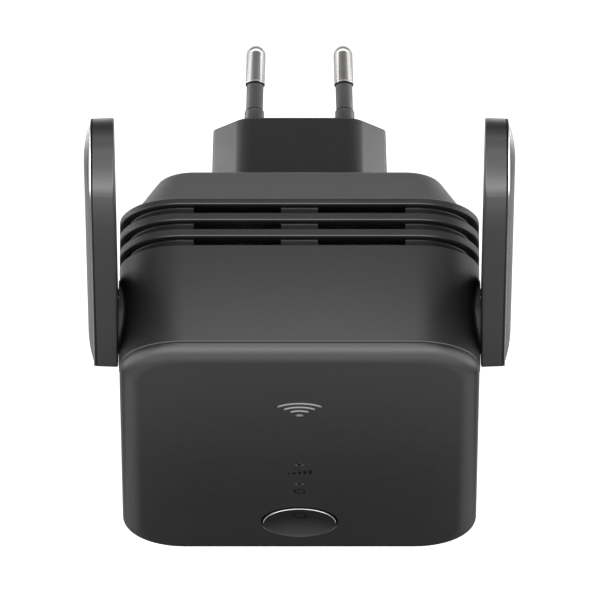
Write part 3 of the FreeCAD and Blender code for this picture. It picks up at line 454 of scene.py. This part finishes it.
def ribbon(points, width, y_at, height=0.03 * MM, closed=False):
    """A printed line of constant width that lies on a surface y = y_at(x, z)."""
    pts = [Vector(p) for p in points]
    n = len(pts)
    rings = []
    for i, p in enumerate(pts):
        a = pts[(i - 1) % n] if (closed or i > 0) else pts[i]
        b = pts[(i + 1) % n] if (closed or i < n - 1) else pts[i]
        d = (b - a).normalized()
        side = Vector((-d.y, d.x)) * width / 2
        ring = []
        for q_, out in ((p + side, 0.004 * MM), (p + side, -height * 0.7), (p + side * 0.8, -height), (p - side * 0.8, -height), (p - side, -height * 0.7), (p - side, 0.004 * MM)):
            ring.append((q_.x, y_at(q_.x, q_.y) + out, q_.y))
        rings.append(ring)
    if not closed:
        return sweep(rings)
    m = len(rings[0])
    verts = [v for r in rings for v in r]
    faces = []
    for i in range(n):
        j = (i + 1) % n
        for k in range(m):
            l_ = (k + 1) % m
            faces.append((i * m + k, i * m + l_, j * m + l_, j * m + k))
    return verts, faces


def arc(cx, cz, r, a0, a1, n=24):
    return [(cx + r * math.cos(math.radians(a0 + (a1 - a0) * i / n)), cz + r * math.sin(math.radians(a0 + (a1 - a0) * i / n))) for i in range(n + 1)]


def icons(button_z, dish):
    """Plain printed signs: rising bars by the first light, a power sign by the second, and a pair of
    turning arrows on the button."""
    flat = lambda x, z: PANEL_Y
    zs = [(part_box(n)[0].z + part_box(n)[1].z) / 2 for n in ("signal_light_pipe", "system_light_pipe")]
    shells = []
    z0 = zs[0] - 5.0 * MM
    for i in range(5):
        x = (-2.2 + 1.1 * i) * MM
        shells.append(ribbon([(x, z0), (x, z0 + (0.55 + 0.36 * i) * MM)], 0.62 * MM, flat))
    make_piece("signal_bars", shells, MAT["print_dark"], "case", sharp=50)
    shells = []
    z1 = zs[1] - 4.1 * MM
    shells.append(ribbon(arc(0, z1, 1.05 * MM, 125, 415, 36), 0.34 * MM, flat))
    shells.append(ribbon([(0, z1 + 0.15 * MM), (0, z1 + 1.35 * MM)], 0.34 * MM, flat))
    make_piece("power_sign", shells, MAT["print_dark"], "case", sharp=50)
    shells = []
    zb = button_z + 2.6 * MM
    r = 1.55 * MM
    for start in (20, 200):
        shells.append(ribbon(arc(0, zb, r, start, start + 122, 20), 0.42 * MM, dish))
        a = math.radians(start + 122)
        tip = Vector((r * math.cos(a + 0.42), zb + r * math.sin(a + 0.42)))
        c = Vector((r * math.cos(a), zb + r * math.sin(a)))
        radial = Vector((math.cos(a), math.sin(a))) * 0.62 * MM
        tri = [c + radial, tip, c - radial]
        top = [(v.x, dish(v.x, v.y) - 0.03 * MM, v.y) for v in tri]
        low = [(v.x, dish(v.x, v.y) + 0.004 * MM, v.y) for v in tri]
        shells.append((top + low, [(0, 1, 2), (5, 4, 3), (0, 3, 4, 1), (1, 4, 5, 2), (2, 5, 3, 0)]))
    make_piece("pairing_arrows", shells, MAT["print_dark"], "wps_button", sharp=50)


def lenses():
    """Smoked lens at the mouth of each light hole."""
    for n in ("signal", "system"):
        lo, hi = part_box(n + "_light_pipe")
        cz = (lo.z + hi.z) / 2
        y = lo.y
        prof = [(0.0, y - 0.16 * MM)]
        for j in range(1, 9):
            v = j / 8
            prof.append((0.655 * MM * v, y - 0.16 * MM * (1 - v * v)))
        prof += [(0.655 * MM, y + 0.2 * MM), (0.0, y + 0.2 * MM)]
        make_piece(n + "_lens", [lathe(prof, 0.0, cz, 40)], MAT["lens_smoke"], "case", sharp=50)


def ring(profile, cx, cz, n=64, lean=0.0):
    """Closed (radius, y) loop turned about a line along Y through (cx, cz); lean shifts it along X with y."""
    verts, faces = [], []
    m = len(profile)
    for k in range(n):
        a = 2 * math.pi * k / n
        for r, y in profile:
            verts.append((cx - lean * y + r * math.cos(a), y, cz + r * math.sin(a)))
    for k in range(n):
        j = (k + 1) % n
        for i in range(m):
            q = (i + 1) % m
            faces.append((k * m + i, k * m + q, j * m + q, j * m + i))
    return verts, faces


def pin_details():
    """Rolled lower edge of each metal pin, with a near-black ring of painted shade in the joint between it and the
    sleeve and another just above the sleeve's collar, and a soft lip at the top of the sleeve's collar."""
    lips, gap_shades, collars = [], [], []
    for side in (-1, 1):
        lean = side * math.tan(math.radians(1.5))
        x0 = side * 9.38 * MM
        loop = []
        for k in range(14):
            a = 2 * math.pi * k / 14
            loop.append(((1.86 + 0.15 * math.cos(a)) * MM, (10.52 + 0.17 * math.sin(a)) * MM))
        lips.append(ring(loop, x0, 0.0, lean=lean))
        # near-black ring of painted shade in the joint between the metal pin and its sleeve
        gap_shades.append(ring([(1.2 * MM, 10.02 * MM), (1.79 * MM, 10.06 * MM), (1.83 * MM, 10.20 * MM), (1.79 * MM, 10.36 * MM), (1.2 * MM, 10.36 * MM)], x0, 0.0, lean=lean))
        loop = []
        for k in range(12):
            a = 2 * math.pi * k / 12
            loop.append(((1.84 + 0.13 * math.cos(a)) * MM, (4.18 + 0.13 * math.sin(a)) * MM))
        collars.append(ring(loop, x0, 0.0, lean=lean))
        # near-black ring of painted shade just above the sleeve's collar
        gap_shades.append(ring([(1.2 * MM, 4.34 * MM), (1.80 * MM, 4.34 * MM), (1.80 * MM, 4.50 * MM), (1.2 * MM, 4.50 * MM)], x0, 0.0, lean=lean))
    make_piece("pin_lips", lips, MAT["pin_metal"], "case", sharp=60)
    make_piece("pin_joint_shades", gap_shades, MAT["painted_gap_shade"], "case", sharp=60)
    make_piece("sleeve_lips", collars, MAT["pin_sleeve"], "case", sharp=60)


def arm_skins():
    """Outer skin of each aerial: a crowned cover, a fine polished bead round it, and a near-black ring of painted
    shade in the hairline joint to the base shell."""
    for name, s in (("left", -1), ("right", 1)):
        lo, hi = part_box(name + "_antenna_base")
        cy = (lo.y + hi.y) / 2
        R = (hi.y - lo.y) / 2
        z0, z1 = lo.z + R, hi.z - R
        seam = max(abs(lo.x), abs(hi.x))
        clo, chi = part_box(name + "_antenna_cover")
        top = max(abs(clo.x), abs(chi.x))
        rc, foot = R - 0.53 * MM, seam + 0.05 * MM
        rise = top - foot
        big = (rc * rc + rise * rise) / (2 * rise)
        path = []
        for k in range(49):
            a = math.radians(180 * k / 48)
            path.append((math.cos(a), math.sin(a), z1))
        for k in range(1, 16):
            path.append((-1.0, 0.0, z1 + (z0 - z1) * k / 16))
        for k in range(49):
            a = math.radians(180 + 180 * k / 48)
            path.append((math.cos(a), math.sin(a), z0))
        for k in range(1, 16):
            path.append((1.0, 0.0, z0 + (z1 - z0) * k / 16))
        n = len(path)

        def at(o, x):
            return [(s * x, cy + ny * o, zc + nz * o) for ny, nz, zc in path]

        rings = [at(rc - 0.06 * MM, foot), at(rc, foot + 0.02 * MM)]
        for k in range(1, 18):
            d = rc * (1 - k / 17.6)
            rings.append(at(d, top - (big - math.sqrt(big * big - d * d))))
        make_piece(name + "_arm_cover", [sweep(rings)], MAT["arm_cover_plastic"], name + "_antenna",
                   (name + "_antenna_cover",), sharp=40)

        def loop(points):
            verts, faces = [], []
            m = len(points)
            for ny, nz, zc in path:
                for o, x in points:
                    verts.append((s * x, cy + ny * o, zc + nz * o))
            for a in range(n):
                b = (a + 1) % n
                for c in range(m):
                    d = (c + 1) % m
                    faces.append((a * m + c, a * m + d, b * m + d, b * m + c))
            return verts, faces

        bead = []
        for k in range(14):
            b = 2 * math.pi * k / 14
            bead.append((R - 0.37 * MM + 0.20 * MM * math.cos(b), seam + 0.06 * MM + 0.20 * MM * math.sin(b)))
        make_piece(name + "_arm_bead", [loop(bead)], MAT["edge_gloss"], name + "_antenna", sharp=80)
        wall = R - 0.135 * MM
        joint = [(wall, seam - 0.46 * MM), (wall - 0.008 * MM, seam - 0.26 * MM), (wall - 0.2 * MM, seam - 0.05 * MM), (wall - 0.4 * MM, seam - 0.3 * MM)]
        # near-black ring of painted shade in the hairline joint between the cover and the base shell
        make_piece(name + "_arm_joint_shade", [loop(joint)], MAT["painted_gap_shade"], name + "_antenna", sharp=60)


groove_fillets()
emblem()
BUTTON_CZ, DISH = button()
icons(BUTTON_CZ, DISH)
lenses()
pin_details()
arm_skins()


# ------------------------------------------------------------------ studio
# Brightness of the tent of soft panels round the object. MIDDLE is read round the ring that runs in front,
# overhead, behind and below, against the angle above the horizon in front; the two SIDE rows are read
# against height, for the panels at the left and right, front half and rear half.
MIDDLE_AT = (-180, -150, -120, -90, -66, -45, -25, 0, 30, 60, 90, 115, 140, 165, 180)
MIDDLE = (0.35, 1.17, 0.95, 0.05, 0.0, 0.59, 1.88, 0.26, 0.0, 0.1, 0.11, 0.23, 1.4, 0.41, 0.35)
SIDE_AT = (-1.0, -0.75, -0.45, -0.15, 0.15, 0.45, 0.75, 1.0)
SIDE_FRONT = (2.4, 2.68, 3.14, 3.29, 3.11, 2.74, 2.2, 1.72)
SIDE_BACK = (1.1, 0.55, 0.60, 1.15, 0.4, 0.0, 0.22, 0.36)
PANELS = (1.23, 2.8, 5.42, 5.43, 4.15, 3.13, 3.01, 1.68, 0.0, 0.27, 0.0, 1.6, 0.0, 2.2, 0.52, 6.6, 1.35, 1.0)


def curve(t, fac, at, values):
    """Straight runs between (at, value) pairs."""
    n = t.tree.nodes.new("ShaderNodeValToRGB")
    ramp = n.color_ramp
    ramp.interpolation = "LINEAR"
    lo, hi, top = at[0], at[-1], 8.0
    while len(ramp.elements) < len(at):
        ramp.elements.new(0.5)
    for e, p, v in zip(ramp.elements, at, values):
        e.position = (p - lo) / (hi - lo)
        e.color = (v / top, v / top, v / top, 1.0)
    t.link(t.ramp(fac, (lo, hi, 0.0, 1.0)), n.inputs["Fac"])
    return t.math("MULTIPLY", n.outputs["Color"], top)


def tent(world, middle, side_front, side_back):
    world.use_nodes = True
    t = Tree(world.node_tree)
    out = t.add("ShaderNodeOutputWorld")
    bg = t.add("ShaderNodeBackground")
    t.link(bg.outputs[0], out.inputs[0])
    d = t.add("ShaderNodeTexCoord").outputs["Generated"]
    sep = t.add("ShaderNodeSeparateXYZ")
    t.link(d, sep.inputs[0])
    x, y, z = sep.outputs
    angle = t.math("MULTIPLY", t.math("ARCTAN2", z, t.math("MULTIPLY", y, -1.0)), 180.0 / math.pi)
    mid = curve(t, angle, MIDDLE_AT, middle)
    rear = t.smooth(y, -0.15, 0.15)
    sf = t.math("MULTIPLY", curve(t, z, SIDE_AT, side_front), t.math("SUBTRACT", 1.0, rear))
    sb = t.math("MULTIPLY", curve(t, z, SIDE_AT, side_back), rear)
    w = t.smooth(t.math("ABSOLUTE", x), 0.60, 0.80)
    level = t.math("ADD", t.math("MULTIPLY", mid, t.math("SUBTRACT", 1.0, w)), t.math("MULTIPLY", t.math("ADD", sf, sb), w))
    # the camera itself sees a plain pale backdrop
    seen = t.add("ShaderNodeLightPath").outputs["Is Camera Ray"]
    level = t.math("ADD", t.math("MULTIPLY", level, t.math("SUBTRACT", 1.0, seen)), t.math("MULTIPLY", seen, 0.93))
    t.link(level, bg.inputs["Strength"])
    bg.inputs["Color"].default_value = (1, 1, 1, 1)


def floor():
    mesh = bpy.data.meshes.new("floor")
    s, zf = 12.0, -0.55
    mesh.from_pydata([(-s, -s, zf), (s, -s, zf), (s, s, zf), (-s, s, zf)], [], [(0, 1, 2, 3)])
    plane = bpy.data.objects.new("floor", mesh)
    scene.collection.objects.link(plane)
    m = bpy.data.materials.new("floor")
    m.use_nodes = True
    t = Tree(m.node_tree)
    out = t.add("ShaderNodeOutputMaterial")
    bsdf = t.add("ShaderNodeBsdfPrincipled")
    bsdf.inputs["Base Color"].default_value = (0.86, 0.86, 0.86, 1)
    bsdf.inputs["Roughness"].default_value = 0.9
    bsdf.inputs["Specular IOR Level"].default_value = 0.1
    bsdf.inputs["Emission Color"].default_value = (1, 1, 1, 1)
    bsdf.inputs["Emission Strength"].default_value = 0.80
    clear = t.add("ShaderNodeBsdfTransparent")
    mixer = t.add("ShaderNodeMixShader")
    t.link(t.add("ShaderNodeNewGeometry").outputs["Backfacing"], mixer.inputs[0])
    t.link(bsdf.outputs[0], mixer.inputs[1])
    t.link(clear.outputs[0], mixer.inputs[2])
    t.link(mixer.outputs[0], out.inputs[0])
    mesh.materials.append(m)
    plane.visible_glossy = False
    plane.visible_diffuse = False
    plane.visible_shadow = False


def panel(name, location, target, size, size_y, level):
    """A soft panel near the object, hidden from the camera. level is its radiance."""
    d = bpy.data.lights.new(name, "AREA")
    d.shape = "RECTANGLE"
    d.size, d.size_y = size, size_y
    d.energy = level * math.pi * size * size_y
    o = bpy.data.objects.new(name, d)
    scene.collection.objects.link(o)
    o.location = location
    o.rotation_mode = "QUATERNION"
    o.rotation_quaternion = (Vector(target) - Vector(location)).to_track_quat("-Z", "Y")
    o.visible_camera = False
    return o


world = bpy.data.worlds.new("studio")
scene.world = world
tent(world, MIDDLE, SIDE_FRONT, SIDE_BACK)
floor()
# (name, location, target, width, height); a name ending in _l has a mirror image at the right
PANEL_SPECS = [("ring_%d" % k, (0.0, -0.055 - 0.085 * math.cos(math.radians(-30 + 20 * k)), 0.065 + 0.085 * math.sin(math.radians(-30 + 20 * k))),
                (0.0, -0.055, 0.065), 0.24, 0.029) for k in range(9)]
PANEL_SPECS += [
    ("low_front", (0.0, -0.1122, -0.0695), (0.0, -0.0724, 0.0222), 0.26, 0.032),
    ("low_near", (0.0, -0.0829, -0.0822), (0.0, -0.0430, 0.0095), 0.26, 0.032),
    ("top", (0.0, -0.046, 0.102), (0.0, -0.046, 0.0), 0.070, 0.040),
    ("top_far", (0.0, -0.006, 0.112), (0.0, -0.030, 0.03), 0.070, 0.040),
    ("rear", (0.0, 0.0500, 0.0300), (0.0, 0.0, 0.0125), 0.12, 0.018),
    ("below_l", (-0.0820, -0.102, -0.157), (-0.036, -0.063, -0.010), 0.068, 0.068),
    ("plug_l", (-0.107, 0.036, -0.019), (-0.0153, -0.010, 0.0035), 0.032, 0.045),
    ("pin_l", (-0.098, 0.052, 0.033), (-0.0094, 0.010, 0.0), 0.060, 0.055),
    ("arm_l", (-0.040, -0.0745, 0.070), (-0.040, -0.0577, 0.0964), 0.030, 0.010),
]


def light_up(spec, level):
    name, at, to, w, h = spec
    out = [panel(name, at, to, w, h, level)]
    if name.endswith("_l"):
        out.append(panel(name[:-2] + "_r", (-at[0], *at[1:]), (-to[0], *to[1:]), w, h, level))
    return out


for spec, level in zip(PANEL_SPECS, PANELS):
    if level > 0:
        light_up(spec, level)
